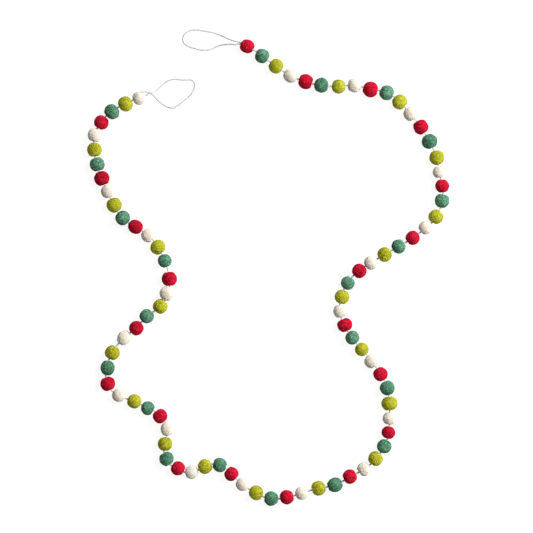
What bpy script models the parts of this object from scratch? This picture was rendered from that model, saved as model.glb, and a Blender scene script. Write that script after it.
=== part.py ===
"""Felt ball garland: wool felt balls threaded on a cotton string with a loop at each end.

The garland lies flat in one long open wave, seen from above with +Y up the page.
Metres, +Z up, origin on the surface it lies on, under the middle of the balls.
"""

import math
from bisect import bisect_right
from collections import namedtuple

import bmesh
import bpy
from mathutils import Matrix, Vector

MM = 0.001

# Felt balls in the order that repeats along the string.
Felt = namedtuple("Felt", "name diameter colour")
FELTS = (
    Felt("cream", 17.9 * MM, (0.84, 0.78, 0.69)),
    Felt("lime", 19.2 * MM, (0.38, 0.41, 0.03)),
    Felt("teal", 19.0 * MM, (0.07, 0.27, 0.18)),
    Felt("red", 18.7 * MM, (0.55, 0.01, 0.04)),
)
FELT_ROUGHNESS = 0.95
STRING_COLOUR = (0.80, 0.79, 0.76)
STRING_ROUGHNESS = 0.85

STRING_DIAMETER = 1.8 * MM
LOOP_SIDES_STEP = 2         # bevel resolution of a loop, eight sides
STRETCH_SIDES_STEP = 1      # and of the stretches between balls, six sides

WELD = 0.001 * MM           # points this near are one point
CLEAR = 0.3 * MM            # gap between a loop's strand and the ball it comes from
STRETCH_CLEAR = 0.5 * MM    # gap between a stretch of string and the next pair
BALL_GAP = 0.4 * MM         # least gap between two neighbouring balls
REST_SHARE = 0.975          # height of a ball's centre, as a share of its radius
ROUNDING = 1.02             # facets lie half inside and half outside the round felt
SEGMENTS = 12
RINGS = 6

# Where the cream and the teal ball of each repeat lie, in millimetres from the middle.
RouteRow = namedtuple("RouteRow", "cream_x cream_y teal_x teal_y")
ROUTE = (
    RouteRow(-173, 233, -210, 214),
    RouteRow(-232, 184, -229, 144),
    RouteRow(-215, 109, -195, 73),
    RouteRow(-161, 50, -139, 16),
    RouteRow(-136, -28, -163, -58),
    RouteRow(-193, -87, -215, -127),
    RouteRow(-200, -163, -161, -181),
    RouteRow(-136, -208, -136, -249),
    RouteRow(-103, -266, -67, -256),
    RouteRow(-35, -282, 3, -301),
    RouteRow(44, -294, 88, -283),
    RouteRow(127, -262, 154, -231),
    RouteRow(161, -194, 158, -154),
    RouteRow(137, -118, 111, -86),
    RouteRow(95, -51, 105, -14),
    RouteRow(136, 13, 173, 35),
    RouteRow(209, 60, 231, 96),
    RouteRow(227, 135, 214, 175),
    RouteRow(189, 212, 157, 240),
    RouteRow(114, 250, 70, 250),
    RouteRow(29, 263, -9, 289),
)
LAST_RED = (-29, 302)
BEFORE_FIRST = (-149, 240)  # the string comes from here into the first ball
AFTER_LAST = (-53, 309)     # and leaves the last ball towards here

# Balls that are plainly longer or wider than round: shares of the felt's diameter.
Oval = namedtuple("Oval", "ball along across")
OVALS = (
    Oval(2, 0.98, 1.04),
    Oval(3, 1.00, 1.06),
    Oval(12, 1.03, 0.92),
    Oval(21, 1.12, 0.98),
    Oval(23, 1.06, 0.96),
    Oval(29, 1.09, 0.93),
    Oval(43, 1.09, 0.98),
    Oval(48, 0.93, 0.95),
    Oval(50, 0.98, 1.10),
    Oval(56, 0.94, 1.02),
    Oval(71, 1.03, 1.07),
    Oval(81, 1.05, 1.00),
    Oval(84, 1.05, 0.94),
)

# Lime and red balls that lie off the middle of their neighbours, in millimetres:
# onwards along the string, and aside to its left.
Shift = namedtuple("Shift", "ball along aside")
SHIFTS = (
    Shift(16, 2.5, 1.5),
    Shift(18, -2, 2.5),
    Shift(20, 0, 2.5),
    Shift(22, 2, -1.5),
    Shift(24, 0, -4),
    Shift(26, 1, 1.5),
    Shift(28, 1.5, 2),
    Shift(30, 0.5, -2),
    Shift(34, 0, 2),
    Shift(42, 0.5, 2),
    Shift(44, 0.5, 2),
    Shift(50, -1.5, 0.5),
    Shift(58, -1.5, -0.5),
    Shift(60, 2, 0.5),
    Shift(66, -1.5, -1.5),
    Shift(70, -3, -1.5),
    Shift(76, 0, 2.5),
    Shift(78, -1, 1.5),
)

# The two hanging loops, in millimetres: from the ball, round, and back to it.
LoopPoint = namedtuple("LoopPoint", "x y z")
LEFT_LOOP = (
    LoopPoint(-159.5, 239, 8.7),
    LoopPoint(-155, 238, 7.2),
    LoopPoint(-150.5, 233, 5),
    LoopPoint(-145, 228, 2.6),
    LoopPoint(-138, 223, 1.1),
    LoopPoint(-129, 220.5, 1),
    LoopPoint(-121, 224, 1),
    LoopPoint(-113, 230, 1),
    LoopPoint(-105, 237, 1),
    LoopPoint(-100, 245, 1),
    LoopPoint(-99, 253, 1),
    LoopPoint(-104, 258, 1),
    LoopPoint(-115, 258, 1),
    LoopPoint(-125, 259, 1),
    LoopPoint(-135, 256.5, 1),
    LoopPoint(-142, 251, 1.8),
    LoopPoint(-148, 245, 4.4),
    LoopPoint(-154, 241.2, 8.2),
    LoopPoint(-160, 240.6, 11.6),
    LoopPoint(-165.5, 241.2, 13.4),
    LoopPoint(-170, 242.2, 14),
    LoopPoint(-173.5, 242.7, 13.2),
)
RIGHT_LOOP = (
    LoopPoint(-45, 309, 8.3),
    LoopPoint(-53, 312, 5.6),
    LoopPoint(-61, 316, 3),
    LoopPoint(-70, 320, 1.3),
    LoopPoint(-78, 322, 1),
    LoopPoint(-89, 324, 1),
    LoopPoint(-98, 325, 1),
    LoopPoint(-105, 324, 1),
    LoopPoint(-110, 321, 1),
    LoopPoint(-114, 316, 1),
    LoopPoint(-114.5, 310, 1),
    LoopPoint(-111, 305, 1),
    LoopPoint(-105, 302, 1),
    LoopPoint(-98, 300, 1),
    LoopPoint(-90, 298, 1),
    LoopPoint(-81, 298, 1),
    LoopPoint(-73, 301, 1.2),
    LoopPoint(-65, 304, 2.4),
    LoopPoint(-58, 305, 4.6),
    LoopPoint(-50, 305, 7.2),
    LoopPoint(-44, 304.4, 8.9),
)
STRAND_SPREAD = 1.15 * MM   # each strand of the right loop beside the last ball's axis
TUBE_STEP = 4.4 * MM        # spacing of the points of a loop's tube
CURVE_STEPS = 24            # samples of the smooth curve between two route points
RELAX_ROUNDS = 400          # turns of pushing crowded balls apart

Ball = namedtuple("Ball", "number felt centre heading half_length radius")


def clear_scene():
    """Remove what the scene holds, so the garland stands alone."""
    for item in list(bpy.data.objects):
        bpy.data.objects.remove(item)


def new_collection(name):
    """A collection of this name under the scene."""
    group = bpy.data.collections.new(name)
    bpy.context.scene.collection.children.link(group)
    return group


def new_material(name, colour, roughness):
    """A plain coloured fibre: no metal, hardly any gloss."""
    material = bpy.data.materials.new(name)
    material.use_nodes = True
    shader = material.node_tree.nodes["Principled BSDF"]
    shader.inputs["Base Color"].default_value = (*colour, 1.0)
    shader.inputs["Roughness"].default_value = roughness
    shader.inputs["Metallic"].default_value = 0.0
    return material


def smooth_line(points):
    """Dense points of a Catmull-Rom curve through all but the first and last point."""
    line = []
    for before, start, end, after in zip(points, points[1:], points[2:], points[3:]):
        for step in range(CURVE_STEPS):
            t = step / CURVE_STEPS
            pull = (end - before) * t
            bend = (before * 2 - start * 5 + end * 4 - after) * t ** 2
            turn = (start * 3 - before - end * 3 + after) * t ** 3
            line.append(start + (pull + bend + turn) / 2)
    line.append(points[-2].copy())
    return line


def run_lengths(line):
    """Distance from the start of the line to each of its points."""
    lengths = [0.0]
    for start, end in zip(line, line[1:]):
        lengths.append(lengths[-1] + (end - start).length)
    return lengths


def place_on(line, lengths, distance):
    """The point at this distance along the line, which runs on straight past its ends."""
    index = min(max(bisect_right(lengths, distance) - 1, 0), len(line) - 2)
    share = (distance - lengths[index]) / (lengths[index + 1] - lengths[index])
    return line[index].lerp(line[index + 1], share)


def ball_sizes():
    """Half length along the string and radius across it, for each ball in turn."""
    ovals = {row.ball: row for row in OVALS}
    sizes = []
    for number in range(1, len(ROUTE) * len(FELTS) + 1):
        felt = FELTS[(number - 1) % len(FELTS)]
        oval = ovals.get(number, Oval(number, 1.0, 1.0))
        sizes.append((felt.diameter * oval.along / 2, felt.diameter * oval.across / 2))
    return sizes


def string_points():
    """The garland's line in plan: cream and teal balls, with a guide at each end."""
    points = [BEFORE_FIRST]
    for row in ROUTE:
        points.append((row.cream_x, row.cream_y))
        points.append((row.teal_x, row.teal_y))
    points.append(LAST_RED)
    points.append(AFTER_LAST)
    return [Vector((x * MM, y * MM, 0.0)) for x, y in points]


def seat(line, lengths, distance, aside):
    """The point at this distance along the line and this far to its left."""
    place = place_on(line, lengths, distance)
    ahead = place_on(line, lengths, distance + MM) - place_on(line, lengths, distance - MM)
    return place + Vector((-ahead.y, ahead.x, 0.0)).normalized() * aside


def seated(line, lengths, distances, shifts):
    """The plan point of every ball."""
    return [
        seat(line, lengths, distance, shift.aside * MM)
        for distance, shift in zip(distances, shifts)
    ]


def wanted_distances(lengths, shifts):
    """Cream and teal balls at their places, lime and red ones about half-way between."""
    stations = [lengths[index] for index in range(0, len(lengths), CURVE_STEPS)]
    last_red = stations.pop()
    distances = []
    for start, end in zip(stations, stations[1:]):
        distances.append(start)
        distances.append((start + end) / 2)
    distances.append(stations[-1])
    distances.append(last_red)
    return [distance + shift.along * MM for distance, shift in zip(distances, shifts)]


def pushed_apart(line, lengths, distances, shifts, sizes):
    """Slide crowded balls along the string until every two keep the least gap."""
    settled = list(distances)
    reach = [max(half_length, radius * ROUNDING) for half_length, radius in sizes]
    final = len(settled) - 1
    for _ in range(RELAX_ROUNDS):
        places = seated(line, lengths, settled, shifts)
        for index in range(final):
            need = reach[index] + reach[index + 1] + BALL_GAP
            short = need - (places[index + 1] - places[index]).length
            if short > 0.0:
                settled[index] -= short / 2 if index > 0 else 0.0
                settled[index + 1] += short / 2 if index + 1 < final else 0.0
    return settled


def lay_balls():
    """Every ball with its place, its direction along the string and its size."""
    points = string_points()
    line = smooth_line(points)
    lengths = run_lengths(line)
    sizes = ball_sizes()
    rows = {row.ball: row for row in SHIFTS}
    shifts = [rows.get(number, Shift(number, 0, 0)) for number in range(1, len(sizes) + 1)]
    wanted = wanted_distances(lengths, shifts)
    distances = pushed_apart(line, lengths, wanted, shifts, sizes)
    places = seated(line, lengths, distances, shifts)
    chain = [points[0], *places, points[-1]]
    balls = []
    for index, place in enumerate(places):
        half_length, radius = sizes[index]
        centre = Vector((place.x, place.y, radius * REST_SHARE))
        heading = (chain[index + 2] - chain[index]).normalized()
        felt = FELTS[index % len(FELTS)]
        balls.append(Ball(index + 1, felt, centre, heading, half_length, radius))
    return balls


def pole(ball, side):
    """Where the string meets the felt: side 1 is onwards, side -1 is backwards."""
    return ball.centre + ball.heading * ball.half_length * side


def ball_object(ball, name, group, material):
    """One felt ball: a sphere with its poles on the string and a small flat spot below."""
    mesh = bpy.data.meshes.new(name)
    shape = bmesh.new()
    bmesh.ops.create_uvsphere(shape, u_segments=SEGMENTS, v_segments=RINGS, radius=1.0)
    size = Matrix.Diagonal((ball.radius * ROUNDING, ball.radius * ROUNDING, ball.half_length, 1.0))
    lie_down = Matrix.Rotation(math.pi / 2, 4, "Y")
    turn = Matrix.Rotation(math.atan2(ball.heading.y, ball.heading.x), 4, "Z")
    shape.transform(Matrix.Translation(ball.centre) @ turn @ lie_down @ size)
    cut = bmesh.ops.bisect_plane(
        shape,
        geom=shape.verts[:] + shape.edges[:] + shape.faces[:],
        plane_co=(0.0, 0.0, 0.0),
        plane_no=(0.0, 0.0, 1.0),
        clear_inner=True,
    )
    rim = [item for item in cut["geom_cut"] if isinstance(item, bmesh.types.BMEdge)]
    bmesh.ops.edgeloop_fill(shape, edges=rim)
    bmesh.ops.recalc_face_normals(shape, faces=shape.faces[:])
    shape.to_mesh(mesh)
    shape.free()
    mesh.materials.append(material)
    mesh.shade_smooth()
    piece = bpy.data.objects.new(name, mesh)
    group.objects.link(piece)
    return piece


def string_object(name, points, sides_step, group, material):
    """A length of string: a round tube along the points, made a closed mesh."""
    curve = bpy.data.curves.new(name, "CURVE")
    curve.dimensions = "3D"
    curve.bevel_depth = STRING_DIAMETER / 2
    curve.bevel_resolution = sides_step
    curve.use_fill_caps = True
    spline = curve.splines.new("POLY")
    spline.points.add(len(points) - 1)
    for knot, place in zip(spline.points, points):
        knot.co = (*place, 1.0)
    guide = bpy.data.objects.new(name + "_line", curve)
    group.objects.link(guide)
    bpy.context.view_layer.update()
    depsgraph = bpy.context.evaluated_depsgraph_get()
    mesh = bpy.data.meshes.new_from_object(guide.evaluated_get(depsgraph))
    bpy.data.objects.remove(guide)
    shape = bmesh.new()
    shape.from_mesh(mesh)
    bmesh.ops.remove_doubles(shape, verts=shape.verts[:], dist=WELD)
    shape.to_mesh(mesh)
    shape.free()
    mesh.materials.clear()
    mesh.materials.append(material)
    mesh.shade_smooth()
    piece = bpy.data.objects.new(name, mesh)
    group.objects.link(piece)
    return piece


def join(piece, other):
    """Fuse another closed piece into this one, each face keeping its own material."""
    other.hide_render = True
    other.display_type = "WIRE"
    union = piece.modifiers.new(other.name, "BOOLEAN")
    union.operation = "UNION"
    union.object = other
    union.solver = "EXACT"
    union.material_mode = "TRANSFER"


def stretch_points(first, second, following):
    """The string from inside the first ball to just short of the ball after the pair."""
    points = [first.centre, second.centre]
    if following is not None:
        reach = following.centre - second.centre
        stop = following.half_length + STRETCH_CLEAR
        points.append(following.centre - reach.normalized() * stop)
    return points


def pair_object(first, second, following, groups, materials):
    """Two neighbouring balls on the stretch of string that runs through them."""
    repeat = (first.number - 1) // len(FELTS) + 1
    name = f"{first.felt.name}_{second.felt.name}_{repeat:02d}"
    made, cutters = groups
    pair = ball_object(first, name, made, materials[first.felt.name])
    partner = ball_object(second, name + "_ball", cutters, materials[second.felt.name])
    points = stretch_points(first, second, following)
    stretch = string_object(
        name + "_string", points, STRETCH_SIDES_STEP, cutters, materials["string"]
    )
    join(pair, partner)
    join(pair, stretch)
    return pair


def even_points(points, step):
    """Points of the smooth curve through the given ones, an even step apart."""
    first = points[0] * 2 - points[1]
    last = points[-1] * 2 - points[-2]
    line = smooth_line([first, *points, last])
    lengths = run_lengths(line)
    count = round(lengths[-1] / step)
    return [place_on(line, lengths, lengths[-1] * index / count) for index in range(count + 1)]


def loop_object(name, start, rows, end, group, material):
    """A hanging loop of string that lies down beside its ball."""
    points = [start]
    points += [Vector((row.x * MM, row.y * MM, row.z * MM)) for row in rows]
    points += end
    return string_object(name, even_points(points, TUBE_STEP), LOOP_SIDES_STEP, group, material)


def build_garland():
    """All the balls in pairs on their stretches of string, and a loop at each end."""
    clear_scene()
    groups = (new_collection("felt ball garland"), new_collection("joined pieces"))
    materials = {}
    for felt in FELTS:
        materials[felt.name] = new_material(felt.name + " felt", felt.colour, FELT_ROUGHNESS)
    materials["string"] = new_material("cotton string", STRING_COLOUR, STRING_ROUGHNESS)
    balls = lay_balls()
    for index in range(0, len(balls), 2):
        following = balls[index + 2] if index + 2 < len(balls) else None
        pair_object(balls[index], balls[index + 1], following, groups, materials)

    first, last = balls[0], balls[-1]
    left_start = pole(first, -1) - first.heading * CLEAR
    loop_object("string_loop_left", left_start, LEFT_LOOP, [], groups[0], materials["string"])
    mouth = pole(last, 1) + last.heading * CLEAR
    beside = Vector((-last.heading.y, last.heading.x, 0.0)) * STRAND_SPREAD
    upper, lower = mouth - beside, mouth + beside
    loop_object("string_loop_right", upper, RIGHT_LOOP, [lower], groups[0], materials["string"])


build_garland()
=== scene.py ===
"""Felt ball garland: fibrous wool balls on a twisted cotton string, laid on a pale floor."""

import math
import random
from bisect import bisect_right
from collections import namedtuple

import bmesh
import bpy
from mathutils import Matrix, Vector, noise


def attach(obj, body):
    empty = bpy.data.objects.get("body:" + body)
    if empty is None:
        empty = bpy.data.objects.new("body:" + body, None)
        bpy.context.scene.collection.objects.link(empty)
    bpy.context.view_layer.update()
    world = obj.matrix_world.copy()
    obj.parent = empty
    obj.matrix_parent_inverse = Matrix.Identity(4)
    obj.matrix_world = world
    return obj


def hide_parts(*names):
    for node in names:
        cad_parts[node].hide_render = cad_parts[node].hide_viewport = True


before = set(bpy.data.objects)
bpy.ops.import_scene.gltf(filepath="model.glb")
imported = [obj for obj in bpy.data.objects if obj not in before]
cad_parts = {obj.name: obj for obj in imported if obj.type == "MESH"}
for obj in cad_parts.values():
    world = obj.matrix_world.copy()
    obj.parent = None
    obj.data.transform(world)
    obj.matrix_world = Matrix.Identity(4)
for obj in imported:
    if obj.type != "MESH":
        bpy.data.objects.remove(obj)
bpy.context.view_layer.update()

MM = 0.001
BODY = "root"

# Felt balls in the order that repeats along the string: size, tones, and how loose the
# surface of the wool is. The deep and light tones are also used as painted shade in the
# felt's hollows and painted light on its tufts.
Felt = namedtuple("Felt", "name diameter base deep light loose")
FELTS = (
    Felt("cream", 17.9 * MM, (238, 230, 216), (228, 218, 201), (243, 238, 229), 1.0),
    Felt("lime", 19.2 * MM, (198, 199, 0), (110, 109, 0), (236, 238, 92), 0.0),
    Felt("teal", 19.0 * MM, (41, 134, 84), (17, 63, 40), (162, 214, 186), 0.0),
    Felt("red", 18.7 * MM, (240, 0, 36), (82, 0, 9), (255, 52, 88), 0.0),
)

STRING_DIAMETER = 1.8 * MM
BALL_GAP = 0.4 * MM
REST_SHARE = 0.975
ROUNDING = 1.02

# The route of the string, the ovals, the shifts and the loops are as in the solids.
# The route is in millimetres.
RouteRow = namedtuple("RouteRow", "cream_x cream_y teal_x teal_y")
ROUTE = (
    RouteRow(-173, 233, -210, 214),
    RouteRow(-232, 184, -229, 144),
    RouteRow(-215, 109, -195, 73),
    RouteRow(-161, 50, -139, 16),
    RouteRow(-136, -28, -163, -58),
    RouteRow(-193, -87, -215, -127),
    RouteRow(-200, -163, -161, -181),
    RouteRow(-136, -208, -136, -249),
    RouteRow(-103, -266, -67, -256),
    RouteRow(-35, -282, 3, -301),
    RouteRow(44, -294, 88, -283),
    RouteRow(127, -262, 154, -231),
    RouteRow(161, -194, 158, -154),
    RouteRow(137, -118, 111, -86),
    RouteRow(95, -51, 105, -14),
    RouteRow(136, 13, 173, 35),
    RouteRow(209, 60, 231, 96),
    RouteRow(227, 135, 214, 175),
    RouteRow(189, 212, 157, 240),
    RouteRow(114, 250, 70, 250),
    RouteRow(29, 263, -9, 289),
)
LAST_RED = (-29, 302)
BEFORE_FIRST = (-149, 240)
AFTER_LAST = (-53, 309)

Oval = namedtuple("Oval", "ball along across")
OVALS = (
    Oval(2, 0.98, 1.04),
    Oval(3, 1.00, 1.06),
    Oval(12, 1.03, 0.92),
    Oval(21, 1.12, 0.98),
    Oval(23, 1.06, 0.96),
    Oval(29, 1.09, 0.93),
    Oval(43, 1.09, 0.98),
    Oval(48, 0.93, 0.95),
    Oval(50, 0.98, 1.10),
    Oval(56, 0.94, 1.02),
    Oval(71, 1.03, 1.07),
    Oval(81, 1.05, 1.00),
    Oval(84, 1.05, 0.94),
)

# Lime and red balls that lie off the middle of their neighbours, in millimetres:
# onwards along the string, and aside to its left.
Shift = namedtuple("Shift", "ball along aside")
SHIFTS = (
    Shift(16, 2.5, 1.5),
    Shift(18, -2, 2.5),
    Shift(20, 0, 2.5),
    Shift(22, 2, -1.5),
    Shift(24, 0, -4),
    Shift(26, 1, 1.5),
    Shift(28, 1.5, 2),
    Shift(30, 0.5, -2),
    Shift(34, 0, 2),
    Shift(42, 0.5, 2),
    Shift(44, 0.5, 2),
    Shift(50, -1.5, 0.5),
    Shift(58, -1.5, -0.5),
    Shift(60, 2, 0.5),
    Shift(66, -1.5, -1.5),
    Shift(70, -3, -1.5),
    Shift(76, 0, 2.5),
    Shift(78, -1, 1.5),
)

LoopPoint = namedtuple("LoopPoint", "x y z")
LEFT_LOOP = (
    LoopPoint(-159.5, 239, 8.7),
    LoopPoint(-155, 238, 7.2),
    LoopPoint(-150.5, 233, 5),
    LoopPoint(-145, 228, 2.6),
    LoopPoint(-138, 223, 1.1),
    LoopPoint(-129, 220.5, 1),
    LoopPoint(-121, 224, 1),
    LoopPoint(-113, 230, 1),
    LoopPoint(-105, 237, 1),
    LoopPoint(-100, 245, 1),
    LoopPoint(-99, 253, 1),
    LoopPoint(-104, 258, 1),
    LoopPoint(-115, 258, 1),
    LoopPoint(-125, 259, 1),
    LoopPoint(-135, 256.5, 1),
    LoopPoint(-142, 251, 1.8),
    LoopPoint(-148, 245, 4.4),
    LoopPoint(-154, 241.2, 8.2),
    LoopPoint(-160, 240.6, 11.6),
    LoopPoint(-165.5, 241.2, 13.4),
    LoopPoint(-170, 242.2, 14),
    LoopPoint(-173.5, 242.7, 13.2),
)
RIGHT_LOOP = (
    LoopPoint(-45, 309, 8.3),
    LoopPoint(-53, 312, 5.6),
    LoopPoint(-61, 316, 3),
    LoopPoint(-70, 320, 1.3),
    LoopPoint(-78, 322, 1),
    LoopPoint(-89, 324, 1),
    LoopPoint(-98, 325, 1),
    LoopPoint(-105, 324, 1),
    LoopPoint(-110, 321, 1),
    LoopPoint(-114, 316, 1),
    LoopPoint(-114.5, 310, 1),
    LoopPoint(-111, 305, 1),
    LoopPoint(-105, 302, 1),
    LoopPoint(-98, 300, 1),
    LoopPoint(-90, 298, 1),
    LoopPoint(-81, 298, 1),
    LoopPoint(-73, 301, 1.2),
    LoopPoint(-65, 304, 2.4),
    LoopPoint(-58, 305, 4.6),
    LoopPoint(-50, 305, 7.2),
    LoopPoint(-44, 304.4, 8.9),
)
STRAND_SPREAD = 1.15 * MM
CURVE_STEPS = 24
RELAX_ROUNDS = 400

Ball = namedtuple("Ball", "number felt centre heading half_length radius")


# Camera: straight above the photograph's middle.
PHOTO_SIDE = 533
PIXEL = 4 / 3 * MM
MIDDLE_PIXEL = (268.9, 272.7)       # the photograph's pixel over the origin
CAMERA_HEIGHT = 2.6
SENSOR = 36.0
VIEW_DEPTH = 20.0


def place_camera():
    """A camera straight above, with the photograph's framing."""
    data = bpy.data.cameras.new("camera")
    camera = bpy.data.objects.new("camera", data)
    bpy.context.scene.collection.objects.link(camera)
    middle = PHOTO_SIDE / 2
    x = (middle - MIDDLE_PIXEL[0]) * PIXEL
    y = (MIDDLE_PIXEL[1] - middle) * PIXEL
    ball_height = FELTS[1].diameter / 2
    camera.location = (x, y, CAMERA_HEIGHT)
    data.sensor_width = SENSOR
    data.lens = SENSOR * (CAMERA_HEIGHT - ball_height) / (PHOTO_SIDE * PIXEL)
    data.clip_end = VIEW_DEPTH
    bpy.context.scene.camera = camera


# The line of the string


def smooth_line(points):
    """Dense points of a Catmull-Rom curve through all but the first and last point."""
    line = []
    for before, start, end, after in zip(points, points[1:], points[2:], points[3:]):
        for step in range(CURVE_STEPS):
            t = step / CURVE_STEPS
            pull = (end - before) * t
            bend = (before * 2 - start * 5 + end * 4 - after) * t ** 2
            turn = (start * 3 - before - end * 3 + after) * t ** 3
            line.append(start + (pull + bend + turn) / 2)
    line.append(points[-2].copy())
    return line


def run_lengths(line):
    """Distance from the start of the line to each of its points."""
    lengths = [0.0]
    for start, end in zip(line, line[1:]):
        lengths.append(lengths[-1] + (end - start).length)
    return lengths


def place_on(line, lengths, distance):
    """The point at this distance along the line, which runs on straight past its ends."""
    index = min(max(bisect_right(lengths, distance) - 1, 0), len(line) - 2)
    share = (distance - lengths[index]) / (lengths[index + 1] - lengths[index])
    return line[index].lerp(line[index + 1], share)


def ball_sizes():
    """Half length along the string and radius across it, for each ball in turn."""
    ovals = {row.ball: row for row in OVALS}
    sizes = []
    for number in range(1, len(ROUTE) * len(FELTS) + 1):
        felt = FELTS[(number - 1) % len(FELTS)]
        oval = ovals.get(number, Oval(number, 1.0, 1.0))
        sizes.append((felt.diameter * oval.along / 2, felt.diameter * oval.across / 2))
    return sizes


def string_points():
    """The garland's line in plan: cream and teal balls, with a guide at each end."""
    points = [BEFORE_FIRST]
    for row in ROUTE:
        points.append((row.cream_x, row.cream_y))
        points.append((row.teal_x, row.teal_y))
    points.append(LAST_RED)
    points.append(AFTER_LAST)
    return [Vector((x * MM, y * MM, 0.0)) for x, y in points]


def seat(line, lengths, distance, aside):
    """The point at this distance along the line and this far to its left."""
    place = place_on(line, lengths, distance)
    ahead = place_on(line, lengths, distance + MM) - place_on(line, lengths, distance - MM)
    return place + Vector((-ahead.y, ahead.x, 0.0)).normalized() * aside


def seated(line, lengths, distances, shifts):
    """The plan point of every ball."""
    return [
        seat(line, lengths, distance, shift.aside * MM)
        for distance, shift in zip(distances, shifts)
    ]


def wanted_distances(lengths, shifts):
    """Cream and teal balls at their places, lime and red ones about half-way between."""
    stations = [lengths[index] for index in range(0, len(lengths), CURVE_STEPS)]
    last_red = stations.pop()
    distances = []
    for start, end in zip(stations, stations[1:]):
        distances.append(start)
        distances.append((start + end) / 2)
    distances.append(stations[-1])
    distances.append(last_red)
    return [distance + shift.along * MM for distance, shift in zip(distances, shifts)]


def pushed_apart(line, lengths, distances, shifts, sizes):
    """Slide crowded balls along the string until every two keep the least gap."""
    settled = list(distances)
    reach = [max(half_length, radius * ROUNDING) for half_length, radius in sizes]
    final = len(settled) - 1
    for _ in range(RELAX_ROUNDS):
        places = seated(line, lengths, settled, shifts)
        for index in range(final):
            need = reach[index] + reach[index + 1] + BALL_GAP
            short = need - (places[index + 1] - places[index]).length
            if short > 0.0:
                settled[index] -= short / 2 if index > 0 else 0.0
                settled[index + 1] += short / 2 if index + 1 < final else 0.0
    return settled


def lay_balls():
    """Every ball with its place, its direction along the string and its size."""
    points = string_points()
    line = smooth_line(points)
    lengths = run_lengths(line)
    sizes = ball_sizes()
    rows = {row.ball: row for row in SHIFTS}
    shifts = [rows.get(number, Shift(number, 0, 0)) for number in range(1, len(sizes) + 1)]
    wanted = wanted_distances(lengths, shifts)
    distances = pushed_apart(line, lengths, wanted, shifts, sizes)
    places = seated(line, lengths, distances, shifts)
    chain = [points[0], *places, points[-1]]
    balls = []
    for index, place in enumerate(places):
        half_length, radius = sizes[index]
        centre = Vector((place.x, place.y, radius * REST_SHARE))
        heading = (chain[index + 2] - chain[index]).normalized()
        felt = FELTS[index % len(FELTS)]
        balls.append(Ball(index + 1, felt, centre, heading, half_length, radius))
    return balls


def pole(ball, side):
    """Where the string meets the felt: side 1 is onwards, side -1 is backwards."""
    return ball.centre + ball.heading * ball.half_length * side


def repeat_of(ball):
    """Which repeat of the four colours the ball belongs to, from 1."""
    return (ball.number - 1) // len(FELTS) + 1


# Materials


def linear(tone):
    """An everyday 0 to 255 colour as linear light."""
    parts = []
    for value in tone:
        share = value / 255
        low = share / 12.92
        high = ((share + 0.055) / 1.055) ** 2.4
        parts.append(low if share <= 0.04045 else high)
    return (*parts, 1.0)


MIX_INPUTS = (0, 6, 7)          # share and two colours, among the inputs of a mix
MIX_OUTPUT = 2


class Nodes:
    """Short calls for building a material's node tree."""

    def __init__(self, name):
        self.material = bpy.data.materials.new(name)
        self.material.use_nodes = True
        self.tree = self.material.node_tree
        self.shader = self.tree.nodes["Principled BSDF"]

    def feed(self, socket, value):
        """Give a socket a plain value, or link another socket to it."""
        if isinstance(value, bpy.types.NodeSocket):
            self.tree.links.new(value, socket)
        else:
            socket.default_value = value

    def fill(self, node, inputs):
        """Feed the named inputs of a node."""
        for key, value in inputs.items():
            self.feed(node.inputs[key], value)

    def add(self, kind, inputs=None, **settings):
        """A node with its settings and its inputs."""
        node = self.tree.nodes.new(kind)
        for key, value in settings.items():
            setattr(node, key, value)
        self.fill(node, inputs or {})
        return node

    def mix(self, share, first, second):
        """Two colours mixed by a share."""
        node = self.add("ShaderNodeMix", data_type="RGBA")
        for index, value in zip(MIX_INPUTS, (share, first, second)):
            self.feed(node.inputs[index], value)
        return node.outputs[MIX_OUTPUT]

    def ramp(self, value, low, high):
        """A value stretched so that low becomes 0 and high becomes 1."""
        inputs = {"Value": value, "From Min": low, "From Max": high}
        return self.add("ShaderNodeMapRange", inputs).outputs["Result"]

    def join(self, operation, first, second):
        """Two values put together."""
        node = self.add("ShaderNodeMath", operation=operation)
        self.feed(node.inputs[0], first)
        self.feed(node.inputs[1], second)
        return node.outputs[0]

    def noise(self, place, scale, detail, roughness, distortion):
        """Cloudy noise, with features about one over scale metres wide."""
        inputs = {
            "Vector": place,
            "Scale": scale,
            "Detail": detail,
            "Roughness": roughness,
            "Distortion": distortion,
        }
        return self.add("ShaderNodeTexNoise", inputs).outputs["Fac"]

    def threads(self, cloud, width):
        """Curly lines where a noise crosses its middle value."""
        away = self.join("ABSOLUTE", self.join("SUBTRACT", cloud, 0.5), 0.0)
        return self.ramp(away, width, 0.0)

    def surface(self, colour, height, strength, depth):
        """Colour and fine relief on the shader."""
        inputs = {"Height": height, "Strength": strength, "Distance": depth}
        bump = self.add("ShaderNodeBump", inputs)
        self.fill(self.shader, {"Normal": bump.outputs["Normal"], "Base Color": colour})


FIRM_RELIEF = 0.62 * MM         # depth of the fine relief on firm felt
LOOSE_RELIEF = 0.30 * MM        # and on loose felt
STRING_RELIEF = 0.15 * MM


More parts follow.
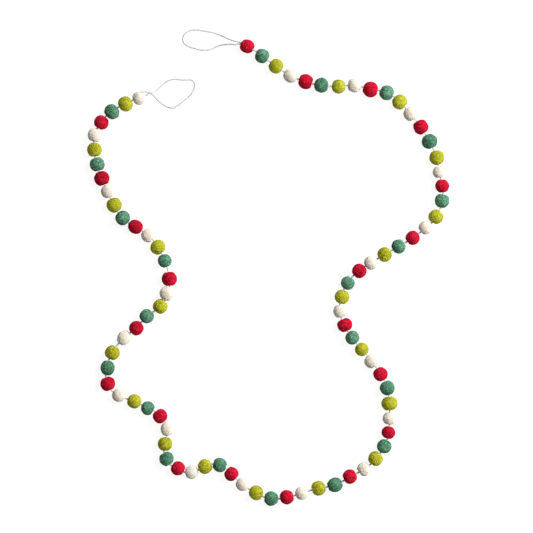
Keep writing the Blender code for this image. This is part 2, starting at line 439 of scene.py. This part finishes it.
def felt_material(felt):
    """Wool felt: matted tufts with painted shade in their hollows and painted light on their tops,
    curly fibre lines over them, its own tint on each ball.
    """
    nodes = Nodes(felt.name + "_felt")
    place = nodes.add("ShaderNodeTexCoord").outputs["Object"]
    mottle = nodes.noise(place, 430.0, detail=1.0, roughness=0.5, distortion=1.4)
    tufts = nodes.noise(place, 620.0, detail=3.0, roughness=0.6, distortion=1.6)
    grain = nodes.noise(place, 2300.0, detail=3.0, roughness=0.7, distortion=0.6)
    tint = nodes.noise(place, 32.0, detail=1.0, roughness=0.5, distortion=0.0)
    curls = nodes.threads(nodes.noise(place, 640.0, detail=1.0, roughness=0.5, distortion=2.4), 0.035)
    wisps = nodes.threads(nodes.noise(place, 1250.0, detail=1.0, roughness=0.5, distortion=1.8), 0.05)
    strands = nodes.threads(nodes.noise(place, 380.0, detail=2.0, roughness=0.6, distortion=5.0), 0.02)

    base = linear(felt.base)
    deep = linear(felt.deep)
    light = linear(felt.light)
    layers = (
        # Painted light: the light tone on the tops of the tufts, where the relief stands highest.
        (nodes.ramp(tufts, 0.50, 0.76), 0.80, light),
        (nodes.ramp(mottle, 0.50, 0.34), 0.66, deep),
        (nodes.ramp(mottle, 0.50, 0.66), 0.55, light),
        (nodes.ramp(tint, 0.42, 0.80), 0.16, light),
        (nodes.ramp(tint, 0.50, 0.26), 0.32, deep),
        (wisps, 0.30, deep),
        (curls, 0.44, light),
        (strands, 0.48, light),
        # Painted shade: the deep tone where the fine grain of the relief is low.
        (nodes.ramp(grain, 0.52, 0.30), 0.45, deep),
    )
    # Painted shade: the deep tone where the tufts are low, in the hollows of the relief.
    colour = nodes.mix(nodes.ramp(tufts, 0.30, 0.58), deep, base)
    for where, strength, tone in layers:
        colour = nodes.mix(nodes.join("MULTIPLY", where, strength), colour, tone)

    height = nodes.join("MULTIPLY", tufts, 1.5)
    for form, strength in ((grain, 0.35), (curls, 0.22), (wisps, 0.14), (strands, 0.24)):
        height = nodes.join("ADD", height, nodes.join("MULTIPLY", form, strength))

    relief = FIRM_RELIEF + (LOOSE_RELIEF - FIRM_RELIEF) * felt.loose
    nodes.surface(colour, height, 1.0, relief)
    nodes.fill(nodes.shader, {
        "Roughness": 0.95,
        "Specular IOR Level": 0.03,
        "Sheen Weight": 0.03,
        "Sheen Roughness": 0.6,
        "Sheen Tint": light,
        "Diffuse Roughness": felt.loose,
    })
    return nodes.material


def string_material():
    """Bleached cotton: pale warm grey with fine fibres, painted shade in their hollows and painted
    light on their tops, and slightly soiled patches.
    """
    nodes = Nodes("cotton_string")
    place = nodes.add("ShaderNodeTexCoord").outputs["Object"]
    fibres = nodes.noise(place, 2600.0, detail=3.0, roughness=0.65, distortion=1.0)
    patches = nodes.noise(place, 240.0, detail=2.0, roughness=0.5, distortion=0.0)
    # Painted shade and light: darker where the fine fibre relief is low, lighter where it stands up.
    colour = nodes.mix(nodes.ramp(fibres, 0.3, 0.7), linear((211, 211, 209)), linear((231, 231, 229)))
    colour = nodes.mix(nodes.ramp(patches, 0.40, 0.9), colour, linear((220, 219, 215)))
    nodes.surface(colour, fibres, 0.6, STRING_RELIEF)
    nodes.fill(nodes.shader, {"Roughness": 0.9, "Specular IOR Level": 0.05, "Diffuse Roughness": 1.0})
    return nodes.material


# Meshes


def mesh_object(name, vertices, faces, material, smooth=True):
    """A new object from arrays of points and faces, in the object's own frame."""
    mesh = bpy.data.meshes.new(name)
    mesh.from_pydata(vertices, [], faces)
    mesh.materials.append(material)
    if smooth:
        mesh.shade_smooth()
    piece = bpy.data.objects.new(name, mesh)
    bpy.context.scene.collection.objects.link(piece)
    return piece


BALL_SUBDIVISIONS = 5           # about five thousand triangles a ball
BALL_SEED = 1000
SHAPE_STEPS = (3.7, 1.9, 5.3)   # from one ball's unevenness to the next one's
HOLE_DEPTH = (1.0 * MM, 3.8 * MM)       # felt drawn in around the string
HOLE_RADIUS = (1.9 * MM, 2.9 * MM)
SWELL = (1.02, 1.04)            # soft felt stands a little proud of the plain solid

# Unevenness of the hand-rolled felt: how often it comes over one radius, and how far it
# stands out, as a share of the radius.
Form = namedtuple("Form", "often far")
LUMP = Form(1.3, 0.050)
DENT = Form(3.1, 0.026)
MAT = Form(6.0, 0.016)
CREASE = Form(3.6, 0.018)
CREASE_SHARPNESS = 8.0

# Balls rolled visibly fuller or slighter than the others of their colour.
FULLNESS = {
    4: 1.02, 5: 1.03, 8: 1.06, 10: 1.03, 12: 1.06, 13: 1.03, 15: 0.95, 16: 1.06, 17: 1.07,
    19: 0.96, 23: 1.03, 24: 1.03, 26: 0.97, 27: 0.94, 51: 1.03, 53: 1.03, 54: 0.92, 55: 0.97,
    56: 1.04, 59: 0.94, 61: 1.03, 63: 0.97, 68: 0.96, 69: 0.95, 72: 1.05, 73: 1.04, 75: 1.02,
    76: 1.11, 77: 1.03, 78: 0.95, 79: 1.03, 80: 1.06, 81: 1.03,
}


def unit_sphere():
    """Points and triangles of an even sphere of radius 1, shared by all the balls."""
    shape = bmesh.new()
    bmesh.ops.create_icosphere(shape, subdivisions=BALL_SUBDIVISIONS, radius=1.0)
    shape.verts.ensure_lookup_table()
    points = [vert.co.copy() for vert in shape.verts]
    faces = [[vert.index for vert in face.verts] for face in shape.faces]
    shape.free()
    return points, faces


def felt_reach(direction, seed):
    """How far the felt stands out in this direction, as a share of the radius."""
    spot = direction + seed
    reach = 1.0
    for form in (LUMP, DENT, MAT):
        reach += noise.noise(spot * form.often) * form.far
    away = min(abs(noise.noise(spot * CREASE.often)) * CREASE_SHARPNESS, 1.0)
    return reach - (1.0 - away) ** 2 * CREASE.far


def ball_points(ball, sphere_points, chance):
    """The surface of one ball: oval, lumpy, drawn in at the string, flat where it rests."""
    turn = Matrix.Rotation(math.atan2(ball.heading.y, ball.heading.x), 3, "Z")
    seed = Vector([ball.number * step for step in SHAPE_STEPS])
    depths = {side: chance.uniform(*HOLE_DEPTH) for side in (-1, 1)}
    widths = {side: chance.uniform(*HOLE_RADIUS) for side in (-1, 1)}
    swell = chance.uniform(*SWELL) * FULLNESS.get(ball.number, 1.0)
    points = []
    for direction in sphere_points:
        reach = felt_reach(direction, seed) * swell
        side = 1 if direction.x > 0 else -1
        across = math.hypot(direction.y, direction.z) * ball.radius
        hole = depths[side] * math.exp(-((across / widths[side]) ** 2))
        local = Vector((
            direction.x * ball.half_length * reach - side * hole,
            direction.y * ball.radius * reach,
            direction.z * ball.radius * reach,
        ))
        place = ball.centre + turn @ local
        place.z = max(place.z, 0.0)
        points.append(place)
    return points


HAIRS = 240                     # loose fibres on each ball
HAIR_LENGTH = (0.7 * MM, 2.0 * MM)
HAIR_THICK = 0.05 * MM
HAIR_CLEAR = 1.2 * MM           # no loose fibre this near the floor
HAIR_LEAN = (0.15, 0.6)         # how steeply a fibre leaves the skin
HAIR_CURL = (-0.4, 0.4)
HAIR_DROOP = (0.0, 0.3)
HAIR_ROOT = 6                   # how deep it is set, in thicknesses
HAIR_TAPER = 0.75


def add_hair(points, faces, root, outward, length, thick, chance):
    """Add one loose fibre, a thin bent three-sided spike, to the points and faces."""
    side = outward.cross(Vector([chance.gauss(0, 1) for _ in range(3)])).normalized()
    lean = (outward * chance.uniform(*HAIR_LEAN) + side).normalized()
    curl = outward.cross(side) * chance.uniform(*HAIR_CURL)
    droop = outward * chance.uniform(*HAIR_DROOP)
    first = len(points)
    rings = (
        (root - outward * thick * HAIR_ROOT, thick),
        (root + lean * length / 2, thick * HAIR_TAPER),
    )
    for place, wide in rings:
        for corner in range(3):
            around = math.tau * corner / 3
            spread = side.cross(outward) * math.cos(around) + outward * math.sin(around)
            points.append(place + spread * wide)
    points.append(root + (lean + (curl - droop)).normalized() * length)
    for point in points[first:]:
        point.z = max(point.z, 0.0)
    faces.append([first + 2, first + 1, first])
    for corner in range(3):
        after = (corner + 1) % 3
        faces.append([first + corner, first + after, first + 3 + after, first + 3 + corner])
        faces.append([first + 3 + corner, first + 3 + after, first + 6])


def felt_ball(ball, sphere, material):
    """One felt ball with its loose fibres."""
    sphere_points, sphere_faces = sphere
    chance = random.Random(BALL_SEED + ball.number)
    points = ball_points(ball, sphere_points, chance)
    faces = list(sphere_faces)
    skin = len(points)
    for _ in range(HAIRS):
        root = points[chance.randrange(skin)]
        outward = (root - ball.centre).normalized()
        if root.z > HAIR_CLEAR:
            add_hair(points, faces, root, outward, chance.uniform(*HAIR_LENGTH), HAIR_THICK, chance)
    return mesh_object(f"{ball.felt.name}_ball_{repeat_of(ball):02d}", points, faces, material)


TWIST_LENGTH = 4.4 * MM         # one full turn of the two plies round each other
PLY_CORE = 1.12                 # shares of the string's nominal radius
PLY_LOBE = 0.32
PLY_WOBBLE = 0.05
WOBBLE_RATE = 0.7               # uneven spots to a millimetre of string
LOBE_SHAPE = 1.5                # higher makes the plies narrower
RING_SIDES = 14
OPEN_STEP = 0.4 * MM            # between rings where the string shows
HIDDEN_STEP = 1.6 * MM          # and inside a ball
HIDDEN_SHARE = 0.58             # of a ball's radius, for the string to count as inside
CELL = 20 * MM                  # balls are looked up by squares of this side
STRING_HAIRS = 3600
STRING_HAIR_LENGTH = (0.8 * MM, 2.2 * MM)
STRING_HAIR_THICK = 0.035 * MM
STRING_SEED = 77

# Where the left loop's free strand lies on the first ball and goes into its felt.
SHOULDER = (
    (-174, 236.5, 12.5),
    (-171.5, 239.2, 13.6),
    (-169, 240.6, 13.9),
)


def string_route(balls):
    """The whole string: left loop, through every ball, right loop, back into the last ball."""
    first, last = balls[0], balls[-1]
    left = [Vector((row.x * MM, row.y * MM, row.z * MM)) for row in LEFT_LOOP[:-2]]
    right = [Vector((row.x * MM, row.y * MM, row.z * MM)) for row in RIGHT_LOOP]
    beside = Vector((-last.heading.y, last.heading.x, 0.0)) * STRAND_SPREAD
    shoulder = [Vector(row) * MM for row in SHOULDER]
    points = [*shoulder, *reversed(left), pole(first, -1)]
    for ball in balls:
        points.append(ball.centre.copy())
        if ball is not last:
            follower = balls[ball.number]
            points.append((pole(ball, 1) + pole(follower, -1)) / 2)
    mouth = pole(last, 1)
    points += [mouth - beside, *right, mouth + beside, last.centre + beside]
    ahead = points[0] * 2 - points[1]
    behind = points[-1] * 2 - points[-2]
    return smooth_line([ahead, *points, behind])


def hidden(place, balls_near):
    """Whether the string is inside a ball here."""
    return any((place - ball.centre).length < ball.radius * HIDDEN_SHARE for ball in balls_near)


def cell_of(place):
    """Column and row of the square that a place lies in."""
    return round(place.x / CELL), round(place.y / CELL)


def string_stations(line, balls):
    """Distances along the string: close together where it shows, further apart in balls."""
    lengths = run_lengths(line)
    grid = {}
    for ball in balls:
        column, row = cell_of(ball.centre)
        for across in (-1, 0, 1):
            for up in (-1, 0, 1):
                grid.setdefault((column + across, row + up), []).append(ball)
    stations = [0.0]
    while stations[-1] < lengths[-1]:
        place = place_on(line, lengths, stations[-1])
        near = grid.get(cell_of(place), [])
        step = HIDDEN_STEP if hidden(place, near) else OPEN_STEP
        stations.append(stations[-1] + step)
    stations[-1] = lengths[-1]
    return [(distance, place_on(line, lengths, distance)) for distance in stations]


def ply_reach(angle, distance):
    """How far two plies twisted together reach from the string's middle."""
    lobe = abs(math.cos(angle - math.tau * distance / TWIST_LENGTH)) ** LOBE_SHAPE
    wobble = PLY_WOBBLE * noise.noise(Vector((distance / MM * WOBBLE_RATE, angle, 3.0)))
    return STRING_DIAMETER / 2 * (PLY_CORE + PLY_LOBE * lobe + wobble)


def twisted_string(balls, material):
    """The cotton string as one closed mesh of two twisted plies, with loose fibres."""
    chance = random.Random(STRING_SEED)
    stations = string_stations(string_route(balls), balls)
    points = []
    faces = []
    side = Vector((0.0, 0.0, 1.0))
    for index, (distance, place) in enumerate(stations):
        before = stations[max(index - 1, 0)][1]
        after = stations[min(index + 1, len(stations) - 1)][1]
        ahead = (after - before).normalized()
        side = (side - ahead * side.dot(ahead)).normalized()
        other = ahead.cross(side)
        for corner in range(RING_SIDES):
            angle = math.tau * corner / RING_SIDES
            outward = side * math.cos(angle) + other * math.sin(angle)
            spot = place + outward * ply_reach(angle, distance)
            spot.z = max(spot.z, 0.0)
            points.append(spot)
    rings = len(stations)
    for start in range(0, (rings - 1) * RING_SIDES, RING_SIDES):
        for corner in range(RING_SIDES):
            low = start + corner
            high = start + (corner + 1) % RING_SIDES
            faces.append([low, high, high + RING_SIDES, low + RING_SIDES])
    faces.append(list(reversed(range(RING_SIDES))))
    faces.append([(rings - 1) * RING_SIDES + corner for corner in range(RING_SIDES)])
    for _ in range(STRING_HAIRS):
        ring, corner = chance.randrange(rings), chance.randrange(RING_SIDES)
        root = points[ring * RING_SIDES + corner]
        outward = (root - stations[ring][1]).normalized()
        if root.z > STRING_DIAMETER / 2:
            length = chance.uniform(*STRING_HAIR_LENGTH)
            add_hair(points, faces, root, outward, length, STRING_HAIR_THICK, chance)
    return mesh_object("string", points, faces, material), [list(place) for _, place in stations]


def dress_garland():
    """Every ball and the string, each riding on the garland and standing for its solids."""
    balls = lay_balls()
    sphere = unit_sphere()
    felts = {felt.name: felt_material(felt) for felt in FELTS}
    string, route = twisted_string(balls, string_material())
    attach(string, BODY)
    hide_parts("string_loop_left", "string_loop_right")
    for ball in balls:
        piece = felt_ball(ball, sphere, felts[ball.felt.name])
        pair = "cream_lime" if ball.felt.name in ("cream", "lime") else "teal_red"
        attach(piece, BODY)
        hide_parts(f"{pair}_{repeat_of(ball):02d}")


# Floor and light

FLOOR_SIDE = 6.0
FLOOR_DROP = 0.2 * MM
FLOOR_WHITE = 0.20
FLOOR_GLOW = 0.90               # the floor is lit from below too, so shadows stay faint

Lamp = namedtuple("Lamp", "name place size power")
LAMPS = (
    Lamp("key", (2.1, 1.1, 1.9), 2.4, 165.0),
    Lamp("top", (0.1, 0.2, 3.4), 2.4, 16.0),
)
SURROUND = 0.06                 # even light from all round
WHITE = (1.0, 1.0, 1.0, 1.0)


def lay_floor():
    """A plain pale floor, slightly lit from below as a light table is."""
    half = FLOOR_SIDE / 2
    corners = [(-half, -half), (half, -half), (half, half), (-half, half)]
    points = [Vector((x, y, -FLOOR_DROP)) for x, y in corners]
    nodes = Nodes("floor")
    nodes.fill(nodes.shader, {
        "Base Color": (FLOOR_WHITE, FLOOR_WHITE, FLOOR_WHITE, 1.0),
        "Emission Color": WHITE,
        "Emission Strength": FLOOR_GLOW,
        "Roughness": 0.9,
        "Specular IOR Level": 0.1,
    })
    floor = mesh_object("floor", points, [[0, 1, 2, 3]], nodes.material, smooth=False)


def hang_lamp(lamp):
    """A square soft light that points at the middle of the garland."""
    data = bpy.data.lights.new(lamp.name, "AREA")
    data.shape = "SQUARE"
    data.size = lamp.size
    data.energy = lamp.power
    light = bpy.data.objects.new(lamp.name, data)
    light.location = lamp.place
    light.rotation_euler = (-Vector(lamp.place)).to_track_quat("-Z", "Y").to_euler()
    bpy.context.scene.collection.objects.link(light)


def light_studio():
    """A large soft key from the upper right, and an even pale surround."""
    for lamp in LAMPS:
        hang_lamp(lamp)
    world = bpy.data.worlds.new("surround")
    world.use_nodes = True
    background = world.node_tree.nodes["Background"]
    background.inputs["Color"].default_value = WHITE
    background.inputs["Strength"].default_value = SURROUND
    bpy.context.scene.world = world
    bpy.context.scene.view_settings.view_transform = "Standard"
    bpy.context.scene.view_settings.look = "None"


place_camera()
dress_garland()
lay_floor()
light_studio()
